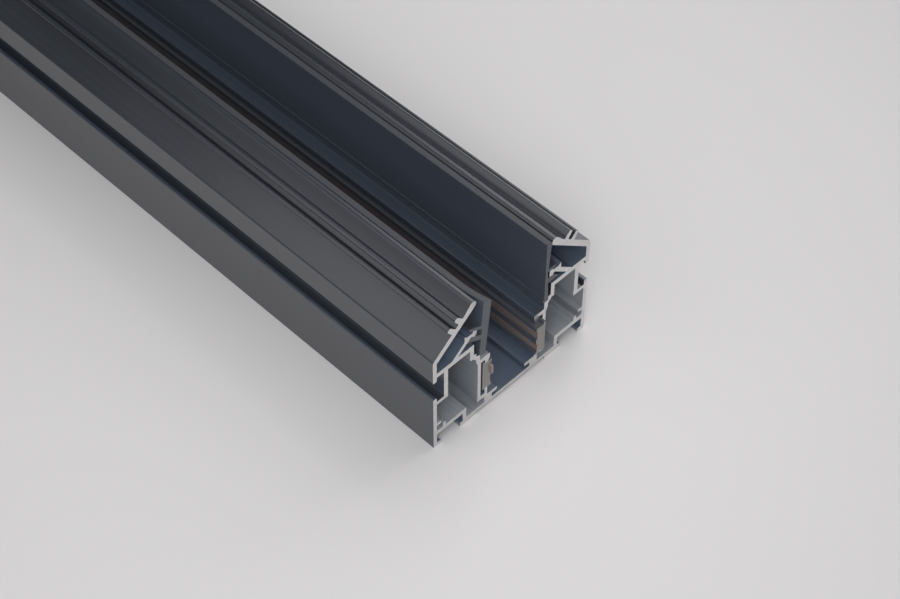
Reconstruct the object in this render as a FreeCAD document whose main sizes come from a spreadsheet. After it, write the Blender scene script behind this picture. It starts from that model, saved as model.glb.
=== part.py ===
import FreeCAD, Part
import Sketcher
import os
import re

# A recessed lighting track: an extruded aluminium profile that lies on its back with its
# channel open upwards. Plastic cover strips line the mouth of the channel, and plastic
# carriers lower down hold the copper conductors. The track runs along Y. The origin is in
# the middle of its underside, and the section is drawn for the right-hand half, X > 0.

doc = FreeCAD.newDocument("recessed_lighting_track")
sheet = doc.addObject("Spreadsheet::Sheet", "Sheet")

# Every size is in millimetres. A name that ends in "half" is a distance from the middle plane.
# The widths build up from the mouth of the channel outwards and inwards, and the heights from
# the base plate upwards, so that each piece follows the one it fits.
sizes = {
    "length": 1000,
    "half_width": 32,
    "mouth_half": 13.1,
    # Base plate, raised between two rails, and the undercut slots on the underside
    "base_thickness": 2.4,
    "base_recess": 1.0,
    "rail_width": 6.7,
    "outer_wall": 1.4,
    "slot_width": 10.5,
    "slot_depth": 5.4,
    "slot_lip_reach": 1.1,
    "slot_lip_height": 1.9,
    "foot_reach": 1.5,
    "foot_height": 1.5,
    "step_wall": 1.5,
    "floor_thickness": 1.7,
    # Nest for the carriers: lower lip, bridge, prongs and fork
    "lower_lip_gap": 1.7,
    "lower_lip_thickness": 1.4,
    "lower_lip_reach": 2.2,
    "pillar_width": 3.2,
    "bridge_gap": 2.8,
    "bridge_thickness": 1.7,
    "prong_gap": 1.6,
    "prong_width": 1.2,
    "lower_prong_length": 2.5,
    "upper_prong_length": 1.8,
    "fork_reach": 3.6,
    "fork_thickness": 1.7,
    "inner_wall": 1.3,
    # Throat between the fork and the seat of the cover strip
    "throat_step": 0.5,
    "throat_height": 2.9,
    "strip_overhang": 0.2,
    "seat_depth": 1.6,
    "tread_width": 1.0,
    "tread_depth": 3.1,
    "end_wall": 1.5,
    # Shelf and side groove
    "shelf_thickness": 1.8,
    "groove_height": 11,
    "groove_depth": 4.3,
    "sill_height": 1.8,
    "lintel_drop": 1.7,
    "ledge_thickness": 1.4,
    "web_thickness": 1.6,
    # Sloping plaster flange with a bead along its tip
    "flange_wall": 1.5,
    "flange_rise": 5.8,
    "flange_slope": 0.84,
    "flange_depth": 2.7,
    "flange_corner_radius": 1.2,
    "bead_width": 1.9,
    "bead_run": 2.6,
    "bead_rise": 3.07,
    "bead_radius": 1.1,
    # Keying ribs on the flange
    "upper_rib_gap": 1.5,
    "upper_rib_root": 1.5,
    "upper_rib_tip": 1.1,
    "upper_rib_rise": 2.3,
    "lower_rib_gap": 2.7,
    "lower_rib_root": 1.4,
    "lower_rib_tip": 1.1,
    "lower_rib_rise": 2.3,
    "rib_radius": 0.5,
    # Hook that the cover strip clips on
    "hook_rise": 4.2,
    "hook_root_width": 2.4,
    "hook_bar_length": 3.8,
    "hook_bar_thickness": 1.4,
    "hook_barb_rise": 0.9,
    "hook_barb_width": 1.0,
    "bulb_length": 1.6,
    "bulb_rise": 0.6,
    "bulb_radius": 0.5,
    "lip_radius": 0.4,
    # Screw port in the corner of the chamber
    "port_reach": 1.6,
    "port_rib": 1.1,
    "port_size": 2.4,
    # Plastic cover strips
    "strip_thickness": 1.7,
    "strip_top_thickness": 2.0,
    "strip_top_drop": 0.7,
    "strip_foot_reach": 0.3,
    "strip_foot_height": 1.4,
    "strip_upper_arm": 1.1,
    "strip_lower_arm": 2.1,
    "strip_arm_length": 3.2,
    "strip_clearance": 0.1,
    # Plastic carriers and their copper conductors
    "carrier_gap": 0.7,
    "carrier_thickness": 3.7,
    "carrier_groove_depth": 0.4,
    "carrier_back_leg": 0.8,
    "carrier_clearance": 0.1,
    "conductor_thickness": 0.8,
    "conductor_width": 3.4,
    "conductor_recess": 0.5,
    "conductor_gap": 2.2,
    "conductor_foot": 0.9,
    "conductor_head": 1.6,
    # How far the loose ends stand out of the saw cut
    "left_strip_shift": 2.6,
    "left_strip_skew": 2.6,
    "right_carrier_shift": 1.9,
    "left_conductor_shift": 1.2,
}
for row, (name, value) in enumerate(sizes.items(), start=1):
    sheet.set(f"A{row}", name)
    sheet.set(f"B{row}", str(value))
    sheet.setAlias(f"B{row}", name)
doc.recompute()


def bound(text):
    """Expression over the sheet's cells for a coordinate that is written with their bare names."""
    return re.sub(r"[a-z]\w*", lambda name: "Sheet." + name.group(), text)


def plane(body, role):
    for feature in body.Origin.OriginFeatures:
        if feature.Role == role:
            return feature
    raise RuntimeError(f"{body.Label} has no {role}")


def profile(body, name, corners, role="XZ_Plane"):
    """Closed outline of straight sides. Across the track its corners are given as (x, level)."""
    sketch = body.newObject("Sketcher::SketchObject", name)
    sketch.AttachmentSupport = (plane(body, role), [""])
    sketch.MapMode = "FlatFace"
    count = len(corners)
    # The corners start on a row of steps, and the constraints below bring each to its place.
    start = [FreeCAD.Vector(10 + index, 10 + index * index, 0) for index in range(count)]
    for index in range(count):
        sketch.addGeometry(Part.LineSegment(start[index], start[(index + 1) % count]), False)
    for index in range(count):
        following = (index + 1) % count
        sketch.addConstraint(Sketcher.Constraint("Coincident", index, 2, following, 1))
    for index, (across, level) in enumerate(corners):
        for kind, text, axis, place in (("DistanceX", across, -2, start[index].x),
                                        ("DistanceY", level, -1, start[index].y)):
            if text == "0":
                sketch.addConstraint(Sketcher.Constraint("PointOnObject", index, 1, axis))
                continue
            number = sketch.addConstraint(Sketcher.Constraint(kind, -1, 1, index, 1, place))
            sketch.setExpression(f"Constraints[{number}]", bound(text))
    return sketch


def extrude(body, sketch, name):
    """Runs an outline the whole length of the track, half to each side of the middle."""
    pad = body.newObject("PartDesign::Pad", name)
    pad.Profile = sketch
    pad.SideType = "Symmetric"
    pad.setExpression("Length", "Sheet.length")
    sketch.Visibility = False
    return pad


def wall(body, name, corners):
    return extrude(body, profile(body, name + "_outline", corners), name)


def round_edges(body, name, corners, radius):
    """Rounds the lengthwise edges that run through the numbered corners of the given outlines."""
    doc.recompute()
    base = body.Tip
    names = []
    for sketch, number in corners:
        corner = sketch.Geometry[number].StartPoint
        for index, edge in enumerate(base.Shape.Edges, start=1):
            middle = edge.CenterOfMass
            if abs(middle.y) + abs(middle.x - corner.x) + abs(middle.z - corner.y) < 0.01:
                names.append(f"Edge{index}")
    if len(names) != len(corners):
        raise RuntimeError(f"{name}: {len(names)} of {len(corners)} edges found")
    fillet = body.newObject("PartDesign::Fillet", name)
    fillet.Base = (base, names)
    fillet.setExpression("Radius", bound(radius))
    return fillet


# Lines that several outlines share, written with the names of the sheet's cells
strip_back = "(mouth_half + strip_thickness)"
throat_half = "(mouth_half + strip_overhang)"
tip_half = "(mouth_half + strip_top_thickness + strip_clearance)"
bead_half = f"({tip_half} + bead_width + bead_run)"
shelf_end = f"({strip_back} + tread_width)"
inner_wall_half = f"({throat_half} - throat_step)"
chamber_half = f"({inner_wall_half} + inner_wall)"
pillar_outer = f"({inner_wall_half} - prong_gap)"
pillar_half = f"({pillar_outer} - pillar_width)"
prong_inner = f"({pillar_outer} - prong_width)"
fork_tip = f"({inner_wall_half} - fork_reach)"
wall_inner = "(half_width - outer_wall)"
flange_inner = "(half_width - flange_wall)"
web_outer = "(half_width - groove_depth)"
step_outer = f"({wall_inner} - slot_width)"
step_inner = f"({step_outer} - step_wall)"

lower_lip = "(base_thickness + lower_lip_gap)"
bridge = "(base_thickness + bridge_gap)"
bridge_top = f"({bridge} + bridge_thickness)"
lower_prong_tip = f"({bridge_top} + lower_prong_length)"
lower_conductor = f"({lower_prong_tip} + conductor_foot)"
upper_conductor = f"({lower_conductor} + conductor_width + conductor_gap)"
upper_prong_tip = f"({upper_conductor} + conductor_width + conductor_head)"
fork = f"({upper_prong_tip} + upper_prong_length)"
fork_top = f"({fork} + fork_thickness)"
seat = f"({fork_top} + throat_height)"
tread = f"({seat} + seat_depth)"
shelf = f"({tread} + tread_depth)"
shelf_top = f"({shelf} + shelf_thickness)"
ledge_top = f"({shelf} - groove_height)"
ledge = f"({ledge_top} - ledge_thickness)"
sill = f"({ledge_top} + sill_height)"
lintel = f"({shelf} - lintel_drop)"
floor_top = "(slot_depth + floor_thickness)"
hook_bar = f"({shelf_top} + hook_rise)"
hook_bar_top = f"({hook_bar} + hook_bar_thickness)"
bulb_top = f"({hook_bar_top} + bulb_rise)"
bulb_bottom = f"({hook_bar} - bulb_rise)"
bulb_end = f"({strip_back} + bulb_length)"
barb_inner = f"({strip_back} + hook_bar_length)"
barb_outer = f"({barb_inner} + hook_barb_width)"
hook_bend = f"({barb_outer} - hook_root_width)"
hook_run = "(hook_rise / flange_slope)"


def flange_face(across):
    """Level of the flange's outer face at a distance from the middle plane."""
    return f"({shelf_top} + flange_rise + (half_width - {across}) * flange_slope)"


flange_tip = f"({flange_face(bead_half)} + bead_rise)"


def make_extrusion():
    body = doc.addObject("PartDesign::Body", "track_extrusion")

    # Outline of the trunk, from the middle of the underside round the outside and back
    trunk = profile(body, "trunk_outline", [
        ("0", "base_recess"),
        (f"{step_outer} + slot_lip_reach - rail_width", "base_recess"),
        (f"{step_outer} + slot_lip_reach - rail_width", "0"),
        (f"{step_outer} + slot_lip_reach", "0"),
        (f"{step_outer} + slot_lip_reach", "slot_lip_height"),
        (step_outer, "slot_lip_height"),
        (step_outer, "slot_depth"),
        (wall_inner, "slot_depth"),
        (wall_inner, "foot_height"),
        (f"{wall_inner} - foot_reach", "foot_height"),
        (f"{wall_inner} - foot_reach", "0"),
        ("half_width", "0"),
        ("half_width", sill),
        (wall_inner, sill),
        (wall_inner, ledge_top),
        (web_outer, ledge_top),
        (web_outer, shelf),
        (flange_inner, shelf),
        (flange_inner, shelf_top),
        (shelf_end, shelf_top),
        (shelf_end, tread),
        (strip_back, tread),
        (strip_back, seat),
        (throat_half, seat),
        (throat_half, fork_top),
        (fork_tip, fork_top),
        (fork_tip, fork),
        (inner_wall_half, fork),
        (inner_wall_half, bridge_top),
        (prong_inner, bridge_top),
        (prong_inner, f"{lower_lip} + lower_lip_thickness"),
        (f"{pillar_half} - lower_lip_reach", f"{lower_lip} + lower_lip_thickness"),
        (f"{pillar_half} - lower_lip_reach", lower_lip),
        (pillar_half, lower_lip),
        (pillar_half, "base_thickness"),
        ("0", "base_thickness"),
    ])
    extrude(body, trunk, "trunk")

    # Hollow chamber inside the trunk, cut along its whole length
    chamber = body.newObject("PartDesign::Pocket", "chamber")
    chamber.Profile = profile(body, "chamber_outline", [
        (step_inner, "base_thickness"),
        (step_inner, floor_top),
        (wall_inner, floor_top),
        (wall_inner, ledge),
        (f"{web_outer} - web_thickness", ledge),
        (f"{web_outer} - web_thickness", shelf),
        (f"{shelf_end} + end_wall", shelf),
        (f"{shelf_end} + end_wall", f"{tread} - end_wall"),
        (f"{strip_back} + end_wall", f"{tread} - end_wall"),
        (f"{throat_half} + end_wall", f"{seat} - end_wall"),
        (f"{throat_half} + end_wall", fork_top),
        (chamber_half, fork),
        (chamber_half, bridge),
        (pillar_outer, bridge),
        (pillar_outer, "base_thickness"),
    ])
    chamber.SideType = "Symmetric"
    chamber.Type = "ThroughAll"

    flange = profile(body, "flange_outline", [
        ("half_width", lintel),
        ("half_width", f"{shelf_top} + flange_rise"),
        (bead_half, flange_face(bead_half)),
        (f"{tip_half} + bead_width", flange_tip),
        (tip_half, flange_tip),
        (tip_half, f"{flange_face(tip_half)} - flange_depth"),
        (flange_inner, f"{flange_face(flange_inner)} - flange_depth"),
        (flange_inner, lintel),
    ])
    extrude(body, flange, "flange")

    # Each rib stands square to the flange's face.
    ribs = []
    middle = bead_half
    for side in ("upper", "lower"):
        middle = f"({middle} + {side}_rib_gap)"
        outer = f"({middle} + {side}_rib_root / 2)"
        inner = f"({middle} - {side}_rib_root / 2)"
        tip_outer = f"({middle} + {side}_rib_tip / 2)"
        tip_inner = f"({middle} - {side}_rib_tip / 2)"
        lean = f"{side}_rib_rise * flange_slope"
        rib = profile(body, f"{side}_rib_outline", [
            (outer, f"{flange_face(outer)} - flange_depth / 2"),
            (outer, flange_face(outer)),
            (f"{tip_outer} + {lean}", f"{flange_face(tip_outer)} + {side}_rib_rise"),
            (f"{tip_inner} + {lean}", f"{flange_face(tip_inner)} + {side}_rib_rise"),
            (inner, flange_face(inner)),
            (inner, f"{flange_face(inner)} - flange_depth / 2"),
        ])
        extrude(body, rib, f"{side}_rib")
        ribs += [(rib, 2), (rib, 3)]

    # The hook rises from the shelf beside the flange, then turns level towards the channel.
    hook = profile(body, "hook_outline", [
        (f"{barb_outer} + {hook_run}", f"{shelf} + shelf_thickness / 2"),
        (f"{barb_outer} + {hook_run}", shelf_top),
        (barb_outer, hook_bar),
        (barb_outer, f"{hook_bar_top} + hook_barb_rise"),
        (barb_inner, hook_bar_top),
        (bulb_end, hook_bar_top),
        (bulb_end, bulb_top),
        (strip_back, bulb_top),
        (strip_back, bulb_bottom),
        (bulb_end, bulb_bottom),
        (bulb_end, hook_bar),
        (hook_bend, hook_bar),
        (f"{hook_bend} + {hook_run}", shelf_top),
        (f"{hook_bend} + {hook_run}", f"{shelf} + shelf_thickness / 2"),
    ])
    extrude(body, hook, "hook")

    # Prongs that point at the carrier from the fork above it and from the bridge below it
    wall(body, "upper_prong", [
        (prong_inner, upper_prong_tip),
        (pillar_outer, upper_prong_tip),
        (pillar_outer, fork_top),
        (fork_tip, fork),
    ])
    wall(body, "lower_prong", [
        (prong_inner, bridge),
        (pillar_outer, bridge),
        (pillar_outer, lower_prong_tip),
        (prong_inner, lower_prong_tip),
    ])

    # Two ribs make an open screw port in the lower outer corner of the chamber.
    wall(body, "port_wall_rib", [
        (f"{wall_inner} - port_reach", f"{floor_top} + port_size"),
        ("half_width - outer_wall / 2", f"{floor_top} + port_size"),
        ("half_width - outer_wall / 2", f"{floor_top} + port_size + port_rib"),
        (f"{wall_inner} - port_reach", f"{floor_top} + port_size + port_rib"),
    ])
    wall(body, "port_floor_rib", [
        (f"{wall_inner} - port_size - port_rib", "slot_depth + floor_thickness / 2"),
        (f"{wall_inner} - port_size", "slot_depth + floor_thickness / 2"),
        (f"{wall_inner} - port_size", f"{floor_top} + port_reach"),
        (f"{wall_inner} - port_size - port_rib", f"{floor_top} + port_reach"),
    ])

    lips = [(trunk, corner) for corner in (3, 4, 9, 10, 12, 13, 25, 31, 32)] + [(flange, 0), (flange, 7)]
    round_edges(body, "flange_corner", [(flange, 1)], "flange_corner_radius")
    round_edges(body, "bead_round", [(flange, 3), (flange, 4)], "bead_radius")
    round_edges(body, "rib_round", ribs, "rib_radius")
    round_edges(body, "bulb_round", [(hook, corner) for corner in (6, 7, 8, 9)], "bulb_radius")
    round_edges(body, "lip_round", lips, "lip_radius")

    doc.recompute()
    half = body.Tip
    whole = body.newObject("PartDesign::Mirrored", "both_halves")
    whole.TransformMode = "Whole shape"
    whole.MirrorPlane = (plane(body, "YZ_Plane"), [""])
    body.Tip = whole
    doc.recompute()
    if abs(whole.Shape.Volume / half.Shape.Volume - 2) > 0.001:
        raise RuntimeError("the mirrored half did not double the section")
    return body


def place(body, side, shift="0"):
    """Half a turn brings a piece drawn for the right to the left. A shift slides it to the near end."""
    turn = FreeCAD.Rotation(FreeCAD.Vector(0, 0, 1), 0 if side == "right" else 180)
    body.Placement = FreeCAD.Placement(FreeCAD.Vector(0, 0, 0), turn)
    body.setExpression("Placement.Base.y", f"-({bound(shift)})")


def make_cover_strip(side, shift):
    body = doc.addObject("PartDesign::Body", f"{side}_cover_strip")
    foot_half = "(mouth_half - strip_foot_reach)"
    arm_end = f"({strip_back} + strip_arm_length)"
    upper_arm = f"({bulb_top} + strip_clearance)"
    lower_arm = f"({bulb_bottom} - strip_clearance)"
    wedge_end = f"({hook_bend} - strip_clearance)"
    wedge_tip = f"({wedge_end} + strip_lower_arm / flange_slope)"
    # Two arms hold the bulb of the hook between them. The lower one ends along the hook's slope.
    wall(body, f"{side}_strip", [
        (foot_half, seat),
        (strip_back, seat),
        (strip_back, f"{lower_arm} - strip_lower_arm"),
        (wedge_tip, f"{lower_arm} - strip_lower_arm"),
        (wedge_end, lower_arm),
        (strip_back, lower_arm),
        (strip_back, upper_arm),
        (arm_end, upper_arm),
        (arm_end, f"{upper_arm} + strip_upper_arm"),
        ("mouth_half + strip_top_thickness", f"{upper_arm} + strip_upper_arm"),
        ("mouth_half + strip_top_thickness", f"{flange_tip} - strip_top_drop"),
        ("mouth_half", f"{flange_tip} - strip_top_drop"),
        ("mouth_half", f"{seat} + strip_foot_height"),
        (foot_half, f"{seat} + strip_foot_height"),
    ])
    if side == "left":
        # The near end is cut askew, so that only its channel side stands out in full.
        cut = body.newObject("PartDesign::Pocket", "skew_cut")
        cut.Profile = profile(body, "skew_cut_outline", [
            (foot_half, "length / 2"),
            (wedge_tip, "length / 2"),
            (wedge_tip, "length / 2 - left_strip_skew"),
        ], "XY_Plane")
        cut.SideType = "Symmetric"
        cut.Type = "ThroughAll"
    place(body, side, shift)
    return body


carrier_back = f"({inner_wall_half} - carrier_gap)"
carrier_face = f"({carrier_back} - carrier_thickness)"
conductor_face = f"({carrier_face} + conductor_recess)"
conductor_back = f"({conductor_face} + conductor_thickness)"


def make_carrier(side, shift):
    body = doc.addObject("PartDesign::Body", f"{side}_conductor_carrier")
    bottom = f"({lower_prong_tip} - carrier_groove_depth)"
    top = f"({upper_prong_tip} + carrier_back_leg)"
    corners = [
        (carrier_face, bottom),
        (f"{prong_inner} - carrier_clearance", bottom),
        (f"{prong_inner} - carrier_clearance", lower_prong_tip),
        (f"{pillar_outer} + carrier_clearance", lower_prong_tip),
        (f"{pillar_outer} + carrier_clearance", bottom),
        (carrier_back, bottom),
        (carrier_back, top),
        (f"{pillar_outer} + carrier_clearance", top),
        (f"{pillar_outer} + carrier_clearance", upper_prong_tip),
        (carrier_face, upper_prong_tip),
    ]
    for level in (upper_conductor, lower_conductor):
        corners += [
            (carrier_face, f"{level} + conductor_width"),
            (conductor_back, f"{level} + conductor_width"),
            (conductor_back, level),
            (carrier_face, level),
        ]
    wall(body, f"{side}_carrier", corners)
    place(body, side, shift)
    return body


def make_conductor(side, row, level, shift):
    body = doc.addObject("PartDesign::Body", f"{side}_{row}_conductor")
    wall(body, f"{side}_{row}_strip", [
        (conductor_face, level),
        (conductor_back, level),
        (conductor_back, f"{level} + conductor_width"),
        (conductor_face, f"{level} + conductor_width"),
    ])
    place(body, side, shift)
    return body


pieces = [
    make_extrusion(),
    make_cover_strip("left", "left_strip_shift"),
    make_cover_strip("right", "0"),
    make_carrier("left", "0"),
    make_conductor("left", "upper", upper_conductor, "left_conductor_shift"),
    make_conductor("left", "lower", lower_conductor, "0"),
    make_carrier("right", "right_carrier_shift"),
    make_conductor("right", "upper", upper_conductor, "right_carrier_shift"),
    make_conductor("right", "lower", lower_conductor, "right_carrier_shift"),
]
doc.recompute()

for feature in doc.Objects:
    if "Invalid" in feature.State or "Error" in feature.State:
        raise RuntimeError(f"{feature.Label} failed: {feature.State}")
for piece in pieces:
    if piece.Shape.isNull() or not piece.Shape.isValid():
        raise RuntimeError(f"{piece.Label} has no valid shape")

os.makedirs("parts", exist_ok=True)
for piece in pieces:
    piece.Shape.exportStep(f"parts/{piece.Label}.step")
    print(piece.Label, len(piece.Shape.Solids), "solid", round(piece.Shape.Volume / 1000, 1), "cm3")
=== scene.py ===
import math

import bmesh
import bpy
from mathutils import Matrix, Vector


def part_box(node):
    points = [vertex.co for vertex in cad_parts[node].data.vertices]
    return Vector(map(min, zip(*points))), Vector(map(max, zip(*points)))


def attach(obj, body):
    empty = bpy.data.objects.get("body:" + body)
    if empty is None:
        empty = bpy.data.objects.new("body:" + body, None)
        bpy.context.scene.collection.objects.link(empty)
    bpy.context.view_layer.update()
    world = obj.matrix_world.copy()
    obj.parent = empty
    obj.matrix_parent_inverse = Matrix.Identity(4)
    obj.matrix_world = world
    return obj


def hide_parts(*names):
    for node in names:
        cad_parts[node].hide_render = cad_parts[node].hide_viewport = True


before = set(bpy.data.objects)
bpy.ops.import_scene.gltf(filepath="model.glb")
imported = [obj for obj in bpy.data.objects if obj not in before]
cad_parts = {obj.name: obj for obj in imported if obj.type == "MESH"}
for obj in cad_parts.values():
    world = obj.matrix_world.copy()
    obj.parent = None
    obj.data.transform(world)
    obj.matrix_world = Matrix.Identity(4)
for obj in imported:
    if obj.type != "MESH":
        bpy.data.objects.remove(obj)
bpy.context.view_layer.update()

# The track runs along Y, and its saw-cut near end is at y = -NEAR. Lengths are in metres, apart from
# those that are called mm.
MM = 0.001
NEAR = 0.5

# Where nearly all of a noise lies, and nearly all of two noises added up
NOISE = (0.3, 0.7)
TWO_NOISES = (0.7, 1.3)

# A face is a saw cut where more of its unit normal than this lies along Y: in a material, on a mesh
SAWN_SHADE = 0.6
SAWN_FACE = 0.5

# How much of the unit normal lies along Z where a plastic face starts to take the painted top light,
# and fully does
UPWARD = (0.5, 0.9)


def colour(text):
    """Linear colour of an sRGB hex value."""
    parts = [int(text[start:start + 2], 16) / 255 for start in (0, 2, 4)]
    linear = [part / 12.92 if part <= 0.04045 else ((part + 0.055) / 1.055) ** 2.4 for part in parts]
    return linear + [1]


def add(tree, kind, sockets=None, **settings):
    """Adds a shader node with its settings, and sets or links its input sockets."""
    made = tree.nodes.new("ShaderNode" + kind)
    for name, value in settings.items():
        setattr(made, name, value)
    for socket, value in (sockets or {}).items():
        if isinstance(value, bpy.types.NodeSocket):
            tree.links.new(value, made.inputs[socket])
        else:
            made.inputs[socket].default_value = value
    return made


def start_material(name):
    """Material with no nodes but its object coordinates, which are in metres."""
    material = bpy.data.materials.new(name)
    material.use_nodes = True
    tree = material.node_tree
    tree.nodes.clear()
    return material, tree, add(tree, "TexCoord").outputs["Object"]


def finish_material(tree, tint, roughness, normal, **more):
    """Adds the surface and the output."""
    sockets = {"Base Color": tint, "Roughness": roughness, "Normal": normal, **more}
    surface = add(tree, "BsdfPrincipled", sockets).outputs[0]
    add(tree, "OutputMaterial", {"Surface": surface})


def noise(tree, place, grain, detail, roughness=0.6, slant=0):
    """Noise whose grain has a size in mm over X, Y and Z. It can slant by some degrees about Y."""
    mapped = add(tree, "Mapping", {
        "Vector": place, "Rotation": (0, math.radians(slant), 0),
        "Scale": [1 / (length * MM) for length in grain]}).outputs["Vector"]
    return add(tree, "TexNoise", {
        "Vector": mapped, "Scale": 1, "Detail": detail, "Roughness": roughness}).outputs["Fac"]


def total(tree, first, second):
    """Sum of two values."""
    return add(tree, "Math", {0: first, 1: second}, operation="ADD").outputs[0]


def ramp(tree, value, given, wanted=(0, 1), **settings):
    """Takes a value from its given range to the wanted one."""
    sockets = {"Value": value, 1: given[0], 2: given[1], 3: wanted[0], 4: wanted[1]}
    return add(tree, "MapRange", sockets, **settings).outputs[0]


def blend(tree, share, first, second):
    """Colour that goes from the first to the second as the share goes from 0 to 1."""
    sockets = {"Factor": share, "A": first, "B": second}
    return add(tree, "Mix", sockets, data_type="RGBA").outputs["Result"]


def bump(tree, height, strength, depth_mm, **more):
    """Normal of a surface with a fine relief."""
    sockets = {"Height": height, "Strength": strength, "Distance": depth_mm * MM, **more}
    return add(tree, "Bump", sockets).outputs[0]


def facing(tree, axis):
    """How much of a face's unit normal lies along an axis."""
    normal = add(tree, "NewGeometry").outputs["Normal"]
    return add(tree, "SeparateXYZ", {"Vector": normal}).outputs[axis]


def end_mask(tree):
    """1 on faces that look along the track, which are saw cuts, and 0 on the lengthwise ones."""
    size = add(tree, "Math", {0: facing(tree, "Y")}, operation="ABSOLUTE").outputs[0]
    return add(tree, "Math", {0: size, 1: SAWN_SHADE}, operation="GREATER_THAN").outputs[0]


# Extruded aluminium, powder-coated dark grey. The coat is blue-black in the shade and takes a pale
# satin sheen from whatever it faces. The die's lengthwise lines show faintly through it. Its lighter,
# bluer copies are painted shade light: they stand in for the bluish fill that lifts the shade in the
# channel, the side grooves and the deep hollows.
def make_powder_coat(name, dark, light):
    material, tree, place = start_material(name)
    die_lines = noise(tree, place, (1.2, 900, 1.2), detail=3)
    cloud = noise(tree, place, (22, 60, 22), detail=2, roughness=0.5)
    grit = noise(tree, place, (0.25, 0.25, 0.25), detail=1, roughness=0.5)
    mixed = total(tree, die_lines, cloud)
    tint = blend(tree, ramp(tree, mixed, TWO_NOISES), colour(dark), colour(light))
    roughness = ramp(tree, mixed, TWO_NOISES, (0.23, 0.27))
    lines = bump(tree, die_lines, strength=0.04, depth_mm=0.05)
    relief = bump(tree, grit, strength=0.08, depth_mm=0.02, Normal=lines)
    finish_material(tree, tint, roughness, relief, IOR=1.8)
    return material


# Bare aluminium, cut by a circular saw: bright, with fine slanting marks from the teeth.
def make_saw_cut():
    material, tree, place = start_material("saw_cut_aluminium")
    tooth_marks = noise(tree, place, (14, 1000, 0.35), detail=3, slant=38)
    tint = blend(tree, ramp(tree, tooth_marks, NOISE), colour("d3d2d2"), colour("e4e3e2"))
    roughness = ramp(tree, tooth_marks, NOISE, (0.52, 0.40))
    relief = bump(tree, tooth_marks, strength=0.25, depth_mm=0.03)
    finish_material(tree, tint, roughness, relief, Metallic=1)
    return material


# Mill-finish aluminium inside the hollow chambers, where no coat reaches: dull grey metal with
# lengthwise lines from the die.
def make_mill_finish():
    material, tree, place = start_material("mill_finish_aluminium")
    die_lines = noise(tree, place, (0.6, 300, 0.6), detail=3)
    tint = blend(tree, ramp(tree, die_lines, NOISE), colour("9fa4ab"), colour("b1b5bb"))
    roughness = ramp(tree, die_lines, NOISE, (0.42, 0.55))
    relief = bump(tree, die_lines, strength=0.2, depth_mm=0.04)
    finish_material(tree, tint, roughness, relief, Metallic=0.3)
    return material


# Extruded plastic: dull and even, with faint lengthwise lines. The faces that look up take a greyer,
# less blue tint: painted light, for the neutral light from above that falls on them while the sides
# take bluish shade. Where the saw went through it, the cut is paler and rougher.
def make_plastic(name, dark, light, painted_top_light, cut, skin_roughness):
    material, tree, place = start_material(name)
    lines = noise(tree, place, (0.9, 500, 0.9), detail=3)
    crumbs = noise(tree, place, (0.4, 0.4, 0.4), detail=2)
    skin = blend(tree, ramp(tree, lines, NOISE), colour(dark), colour(light))
    # Painted top light: faces that look up take a greyer, less blue tint.
    skin_with_painted_top_light = blend(tree, ramp(tree, facing(tree, "Z"), UPWARD), skin, colour(painted_top_light))
    sawn = end_mask(tree)
    tint = blend(tree, sawn, skin_with_painted_top_light, colour(cut))
    roughness = ramp(tree, sawn, (0, 1), (skin_roughness, 0.75))
    height = add(tree, "Mix", {"Factor": sawn, "A": lines, "B": crumbs}).outputs["Result"]
    relief = bump(tree, height, strength=0.15, depth_mm=0.05)
    finish_material(tree, tint, roughness, relief, IOR=1.48)
    return material


# Drawn copper strip, gone brown in the air, brighter where it was rubbed along its length.
def make_copper():
    material, tree, place = start_material("tarnished_copper")
    rubs = noise(tree, place, (0.7, 120, 0.7), detail=4)
    blotches = noise(tree, place, (4, 14, 4), detail=3)
    mixed = total(tree, rubs, blotches)
    middle = (0.75, 1.25)
    tint = blend(tree, ramp(tree, mixed, middle), colour("968683"), colour("ac9b97"))
    roughness = ramp(tree, mixed, middle, (0.5, 0.35))
    relief = bump(tree, rubs, strength=0.15, depth_mm=0.03)
    finish_material(tree, tint, roughness, relief, Metallic=0.4)
    return material


powder_coat = make_powder_coat("powder_coated_aluminium", "32363e", "373b43")
# Lighter, bluer copies of the coat: painted shade light for the shaded channel, grooves and hollows.
painted_channel_shade_coat = make_powder_coat("powder_coat_with_painted_channel_shade", "454e5c", "4c5563")
painted_hollow_shade_coat = make_powder_coat("powder_coat_with_painted_hollow_shade", "5a6678", "616d7f")
saw_cut = make_saw_cut()
mill_finish = make_mill_finish()
# The third colour of each plastic is painted top light: the tint of its faces that look up.
black_plastic = make_plastic("black_pvc", "464d59", "4e5561", "42444a", "676b71", 0.36)
grey_plastic = make_plastic("grey_nylon", "474c55", "525761", "50535a", "9a9996", 0.6)
copper = make_copper()


# Meshes of the replaced pieces: limits for edges, and the radii that the dies leave on corners
SAME_POINT = 0.001 * MM
FLAT = math.radians(0.5)
CORNER = math.radians(35)
SHARP = math.radians(38)
LONG = 0.9
PROFILE_RADIUS = 0.12 * MM
STRIP_RADIUS = 0.2 * MM


def is_sawn(face):
    """Whether a face looks along the track. The others run lengthwise."""
    return abs(face.normal.y) > SAWN_FACE


def solid_of(node):
    """Merged copy of a CAD node's mesh, with the flat lengthwise faces in one piece each."""
    mesh = bmesh.new()
    mesh.from_mesh(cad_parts[node].data)
    bmesh.ops.remove_doubles(mesh, verts=mesh.verts, dist=SAME_POINT)
    mesh.normal_update()
    seams = [edge for edge in mesh.edges
             if len(edge.link_faces) == 2 and edge.calc_face_angle() < FLAT
             and not is_sawn(edge.link_faces[0])]
    bmesh.ops.dissolve_edges(mesh, edges=seams, use_verts=False)
    return mesh


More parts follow.
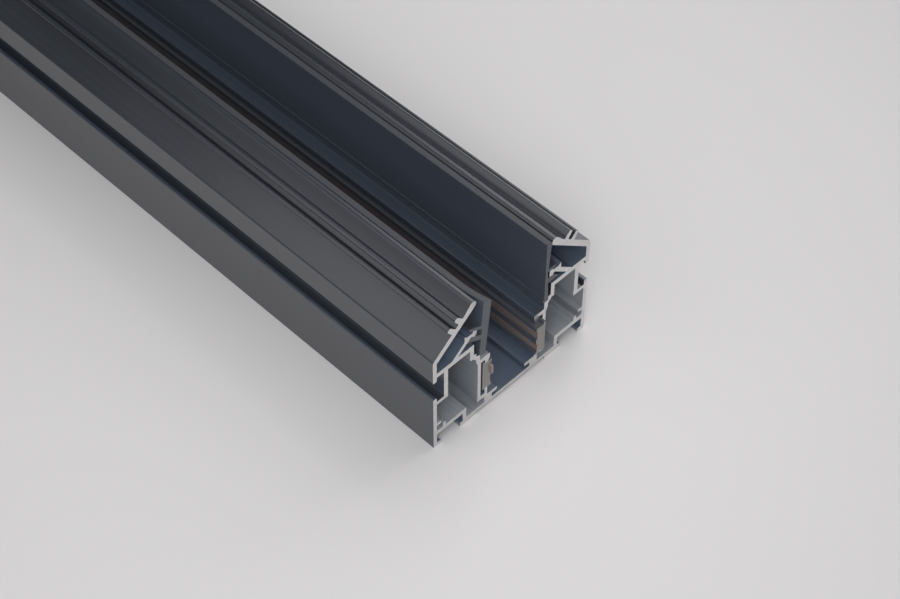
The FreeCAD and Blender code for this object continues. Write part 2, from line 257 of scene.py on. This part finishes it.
def round_corners(mesh, radius):
    """Rounds the sharp edges that run the whole length of the track."""
    corners = [edge for edge in mesh.edges
               if abs(edge.verts[0].co.y - edge.verts[1].co.y) > LONG
               and len(edge.link_faces) == 2 and edge.calc_face_angle() > CORNER]
    bmesh.ops.bevel(mesh, geom=corners, offset=radius, affect="EDGES", segments=2, profile=0.5,
                    material=-1)


def new_object(name, data):
    """Object in the scene with this data."""
    made = bpy.data.objects.new(name, data)
    bpy.context.collection.objects.link(made)
    return made


def mesh_object(name, mesh, materials):
    """Object in the scene with this mesh, which it uses up, and a slot for each material."""
    data = bpy.data.meshes.new(name)
    mesh.to_mesh(data)
    mesh.free()
    for material in materials:
        data.materials.append(material)
    return new_object(name, data)


def put_in_scene(mesh, name, node, materials):
    """Makes the piece that stands for a CAD node, flat on its faces and smooth round its radii."""
    piece = mesh_object(name, mesh, materials)
    piece.data.shade_smooth()
    piece.data.set_sharp_from_angle(angle=SHARP)
    piece.modifiers.new("flat_faces", "WEIGHTED_NORMAL").keep_sharp = True
    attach(piece, "root")
    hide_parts(node)


def skins(mesh):
    """Groups of lengthwise faces that touch: the outside first, then the inside of each chamber."""
    waiting = {face.index for face in mesh.faces if not is_sawn(face)}
    mesh.faces.ensure_lookup_table()
    groups = []
    while waiting:
        group, front = [], [waiting.pop()]
        while front:
            face = mesh.faces[front.pop()]
            group.append(face)
            near = {other.index for edge in face.edges for other in edge.link_faces} & waiting
            waiting -= near
            front += near
        groups.append(group)
    return sorted(groups, key=len, reverse=True)


# Material slots of the profile, in the order in which it gets the materials. The last two hold the
# lighter, bluer copies of the coat, which are painted shade light.
OUTSIDE, SAWN_END, CHAMBER, PAINTED_CHANNEL_SHADE, PAINTED_HOLLOW_SHADE = range(5)

# Zones of the profile's section in mm: ends across, counted from the middle, and ends in height.
# PAST_MIDDLE takes in the faces that lie on the middle itself.
PAST_MIDDLE = -1
CHANNEL_SIDE = (PAST_MIDDLE, 13.5, 8, 30)
CHANNEL_FLOOR = (PAST_MIDDLE, 13.5, 1.5, 8)
SIDE_GROOVE = (27, 31.9, 22.5, 30.6)
UNDERSIDE_SLOT = (19.9, 30.7, 0.1, 5.6)

# The hollow under a flange in mm: its ends across, its bottom, and the flange's sloping underside
HOLLOW_ENDS = (15, 30.7)
HOLLOW_BOTTOM = 33.6
FLANGE_FOOT = 37.3
FLANGE_SLOPE = 0.84
HALF_WIDTH = 32


def coat_at(place):
    """Material slot for a place on the profile's outside. The channel's sides and the side grooves get
    a lighter, bluer copy of the coat, and the channel's floor, the hollows under the flanges and the
    slots a still lighter one: both copies are painted shade light."""
    across, level = abs(place.x) / MM, place.z / MM

    def lies_in(inner, outer, bottom, top):
        return inner < across < outer and bottom < level < top

    if lies_in(*CHANNEL_SIDE) or lies_in(*SIDE_GROOVE):
        return PAINTED_CHANNEL_SHADE
    underside = FLANGE_FOOT + FLANGE_SLOPE * (HALF_WIDTH - across)
    under_flange = lies_in(*HOLLOW_ENDS, HOLLOW_BOTTOM, underside)
    if under_flange or lies_in(*CHANNEL_FLOOR) or lies_in(*UNDERSIDE_SLOT):
        return PAINTED_HOLLOW_SHADE
    return OUTSIDE


# The profile: its corners get the small radius that a die leaves, its sawn ends are bare, its
# chambers are bare inside, and its shaded channel, side grooves and deep hollows get lighter, bluer
# copies of the coat, which are painted shade light.
profile = solid_of("track_extrusion")
round_corners(profile, PROFILE_RADIUS)
profile.normal_update()
profile.faces.index_update()
for face in profile.faces:
    face.material_index = SAWN_END if is_sawn(face) else coat_at(face.calc_center_median())
for chamber in skins(profile)[1:]:
    for face in chamber:
        face.material_index = CHAMBER
put_in_scene(profile, "profile", "track_extrusion",
             [powder_coat, saw_cut, mill_finish, painted_channel_shade_coat, painted_hollow_shade_coat])


# The cover strips: the back of a strip's web is WEB from the middle, its arms reach ARM farther out,
# and the first third of an arm is its root. FOOT is the share of the height that stays on the seat.
# The free end is cut in slices, so that it can bend.
WEB = 14.8 * MM
ARM = 6.2 * MM
ROOT = ARM / 3
FOOT = 0.15
SLICES = 12


def lean(up):
    """Shift of the left strip's end at a share of its height: into the channel, and back at its foot."""
    inward_mm = 1.0 + 0.35 * up
    back_mm = 1.7 * (1 - up)
    return MM * Vector((inward_mm, back_mm, 0))


def bulge(up):
    """Shift of the right strip's end at a share of its height: into the channel, above its foot."""
    above_foot = max(0, up - FOOT) / (1 - FOOT)
    inward_mm = 0.8 * math.sin(math.pi * above_foot)
    return MM * Vector((-inward_mm, 0, 0))


def cover_strip(side, free_length, spring, arms_back):
    """Cover strip whose near end has sprung. Past their roots, its arms are set back from that end."""
    node = f"{side}_cover_strip"
    low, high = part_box(node)
    mesh = solid_of(node)
    round_corners(mesh, STRIP_RADIUS)
    start = -NEAR + free_length
    reach = start - low[1]
    for step in range(SLICES):
        bmesh.ops.bisect_plane(mesh, geom=[*mesh.verts, *mesh.edges, *mesh.faces],
                               plane_co=(0, start - step * reach / SLICES, 0), plane_no=(0, 1, 0))
    for point in mesh.verts:
        free = max(0, (start - point.co.y) / reach) ** 2
        up = (point.co.z - low[2]) / (high[2] - low[2])
        arm = min(1, max(0, abs(point.co.x) - WEB) / ROOT)
        point.co += free * (spring(up) + Vector((0, arms_back * arm, 0)))
    put_in_scene(mesh, f"{side}_strip", node, [black_plastic])


cover_strip("left", 8 * MM, lean, 0.6 * MM)
cover_strip("right", 6 * MM, bulge, 0)

for side in ("left", "right"):
    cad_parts[f"{side}_conductor_carrier"].material_slots[0].material = grey_plastic
    for row in ("upper", "lower"):
        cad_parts[f"{side}_{row}_conductor"].material_slots[0].material = copper

# The floor is palest at one spot near the saw-cut end: a painted pool of light. From there it dims
# over one range of distances, as painted falloff of light, and fades to an even grey over another.
PAINTED_LIGHT_POOL_CENTRE = (0.05, -0.4, 0)
PAINTED_LIGHT_FALLOFF = (0.05, 0.45)
FADING = (0.5, 1.2)
FLOOR_HALF = 6


# Pale plain floor with a matt coat, a little darker away from the near end, as in the photo. Far off
# it shows the camera an even pale grey, which lights nothing.
def make_floor():
    material, tree, place = start_material("pale_matt_floor")
    distance = add(tree, "VectorMath", {0: place, 1: PAINTED_LIGHT_POOL_CENTRE}, operation="DISTANCE").outputs["Value"]
    # Painted light: a pool of light round the near end, darker with distance.
    painted_falloff = ramp(tree, distance, PAINTED_LIGHT_FALLOFF, interpolation_type="SMOOTHSTEP")
    tint = blend(tree, painted_falloff, colour("e9e7e8"), colour("cac8c9"))
    lit = add(tree, "BsdfPrincipled", {"Base Color": tint, "Roughness": 0.8}).outputs[0]
    plain = add(tree, "Emission", {"Color": colour("c6c4c5"), "Strength": 1}).outputs[0]
    far_off = ramp(tree, distance, FADING, interpolation_type="SMOOTHSTEP")
    seen = add(tree, "LightPath").outputs["Is Camera Ray"]
    faded = add(tree, "Math", {0: far_off, 1: seen}, operation="MULTIPLY").outputs[0]
    surface = add(tree, "MixShader", {0: faded, 1: lit, 2: plain}).outputs[0]
    add(tree, "OutputMaterial", {"Surface": surface})
    return material


floor_mesh = bmesh.new()
bmesh.ops.create_grid(floor_mesh, x_segments=1, y_segments=1, size=FLOOR_HALF)
floor = mesh_object("floor", floor_mesh, [make_floor()])

world = bpy.data.worlds.new("studio")
world.use_nodes = True
background = world.node_tree.nodes["Background"].inputs
background["Color"].default_value = colour("ffffff")
background["Strength"].default_value = 0.05
bpy.context.scene.world = world


def lamp(name, watts, size, place, aim, spread=180):
    """Soft lamp of a width and height at a place, turned to an aim point, with its beam in degrees."""
    light = bpy.data.lights.new(name, "AREA")
    light.shape = "RECTANGLE"
    light.energy = watts
    light.spread = math.radians(spread)
    light.size, light.size_y = size
    made = new_object(name, light)
    made.location = place
    made.rotation_euler = (Vector(aim) - Vector(place)).to_track_quat("-Z", "Y").to_euler()


# Soft white light from above and from both sides. A small lamp lights the saw cut, and one with a
# narrow beam lights the far half.
NEAR_END = (0, -0.42, 0.03)
lamp("overhead_lamp", 10.5, (1.6, 1.6), (0.3, -0.4, 1.8), NEAR_END)
lamp("left_panel", 2.8, (1.6, 0.6), (-0.7, -0.6, 0.65), (0, -0.6, 0.03))
lamp("right_panel", 5, (1.0, 1.0), (0.9, -0.3, 0.8), NEAR_END)
lamp("front_lamp", 1.5, (0.3, 0.3), (-0.3, -0.8, 0.5), NEAR_END)
lamp("far_lamp", 2.2, (1.2, 0.4), (0, 0.5, 1.1), (0, 0.5, 0), spread=60)

# The camera stands where the photo's was: 45 degrees round to the left of the near end
camera_data = bpy.data.cameras.new("camera")
camera_data.sensor_width = 36
camera_data.lens = 77.06
camera_data.clip_start = 0.01
camera = new_object("camera", camera_data)
camera.location = (-0.2573, -0.7318, 0.4559)
camera.rotation_euler = (math.radians(39.75), 0, math.radians(-45.02))
bpy.context.scene.camera = camera
bpy.context.scene.view_settings.view_transform = "Standard"
